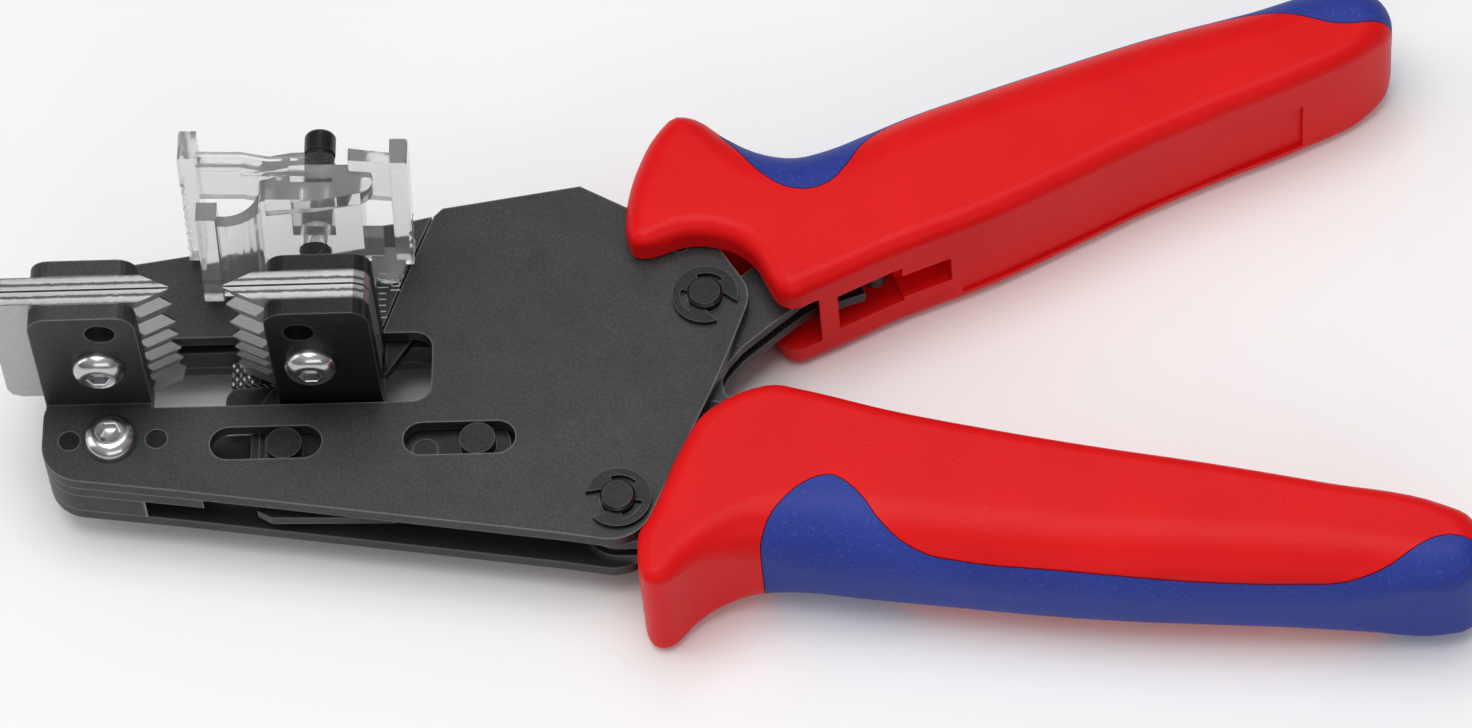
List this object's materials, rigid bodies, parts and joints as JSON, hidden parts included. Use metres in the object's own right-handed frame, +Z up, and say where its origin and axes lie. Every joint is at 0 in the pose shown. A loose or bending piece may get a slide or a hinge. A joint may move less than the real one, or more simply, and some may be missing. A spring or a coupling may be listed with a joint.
{
  "type": "automatic wire stripper",
  "caption": "Hand tool with toothed jaw blades that close on a wire and part to pull off insulation, with squeeze grips and a sliding length stop.",
  "frame": {"origin": "centre of the bounding box in plan, at the underside of the grips that the tool lies on", "axes": "+X from the jaws to the handles, +Y from the near half to the far half, +Z up from the plane the tool lies on, the side with the jaw blades"},
  "size_m": [0.2046, 0.0992, 0.0434],
  "materials": {
    "body_steel": "fine-grained black phosphate",
    "blade_steel": "ground tool steel",
    "screw_steel": "bright stainless",
    "black_steel": "blackened",
    "grip_red": "hard moulded plastic",
    "grip_blue": "soft moulded plastic",
    "clear_plastic": "clear polycarbonate",
    "spring_steel": "spring wire"
  },
  "bodies": {
    "near_half": {"near_top_plate": "body_steel", "near_bottom_plate": "body_steel", "front_liner": "body_steel", "front_spacer": "body_steel", "front_screw": "screw_steel", "dowel_pin_left": "screw_steel", "dowel_pin_right": "screw_steel", "near_fixed_blade": "blade_steel", "near_fixed_screw": "screw_steel", "handle_pin": "black_steel", "handle_pin_clip": "black_steel", "tang_pin": "black_steel", "tang_pin_clip": "black_steel", "far_pivot_pin": "black_steel", "tang_upper": "body_steel", "tang_lower": "body_steel", "lower_grip": "grip_red", "lower_grip_insert": "grip_blue", "return_spring": "spring_steel", "spring_anchor": "body_steel", "near_rail": "body_steel"},
    "near_jaw": {"near_slider": "body_steel", "near_moving_blade": "blade_steel", "near_moving_screw": "screw_steel", "front_guide_pin": "black_steel", "rear_guide_pin": "black_steel", "drive_link": "body_steel", "spring_hook": "body_steel", "slider_rivet": "black_steel", "near_foot": "body_steel"},
    "far_half": {"far_top_plate": "body_steel", "far_bottom_plate": "body_steel", "far_arm": "body_steel", "far_spacer_upper": "body_steel", "far_spacer_lower": "body_steel", "far_corner_block": "body_steel", "far_fixed_blade": "blade_steel", "far_fixed_screw": "screw_steel", "far_corner_screw": "screw_steel", "far_rivet": "black_steel", "far_rail": "body_steel"},
    "far_jaw": {"far_slider": "body_steel", "far_clamp_pad": "spring_steel", "far_moving_blade": "blade_steel", "stop_rod": "black_steel"},
    "stop": {"length_stop": "clear_plastic"},
    "upper_handle": {"lever_upper": "body_steel", "lever_lower": "body_steel", "drive_pin": "black_steel", "grip_pin": "black_steel", "upper_grip": "grip_red", "upper_grip_insert": "grip_blue"}
  },
  "joints": [
    {"name": "handle_squeeze", "type": "hinge", "parent": "near_half", "child": "upper_handle", "pos_m": [-0.00447, 0.00124, 0.0103], "axis": [0, 0, -1], "range_deg": [0, 24], "stiffness_Nm_per_rad": 0.5},
    {"name": "near_jaw_slide", "type": "slide", "parent": "near_half", "child": "near_jaw", "axis": [-1, 0, 0], "range_m": [0, 0.00726]},
    {"name": "far_half_open", "type": "hinge", "parent": "near_half", "child": "far_half", "pos_m": [-0.00824, 0.01036, 0.0103], "axis": [0, 0, -1], "range_deg": [0, 4.4], "stiffness_Nm_per_rad": 0.5},
    {"name": "far_jaw_slide", "type": "slide", "parent": "far_half", "child": "far_jaw", "axis": [-1, 0, 0], "range_m": [0, 0.00726]},
    {"name": "stop_slide", "type": "slide", "parent": "far_jaw", "child": "stop", "axis": [0, 1, 0], "range_m": [-0.004, 0.008]}
  ],
  "couplings": [
    {"joint": "near_jaw_slide", "follows": "handle_squeeze", "m_per_rad": 0.017332},
    {"joint": "far_jaw_slide", "follows": "handle_squeeze", "m_per_rad": 0.017332}
  ]
}
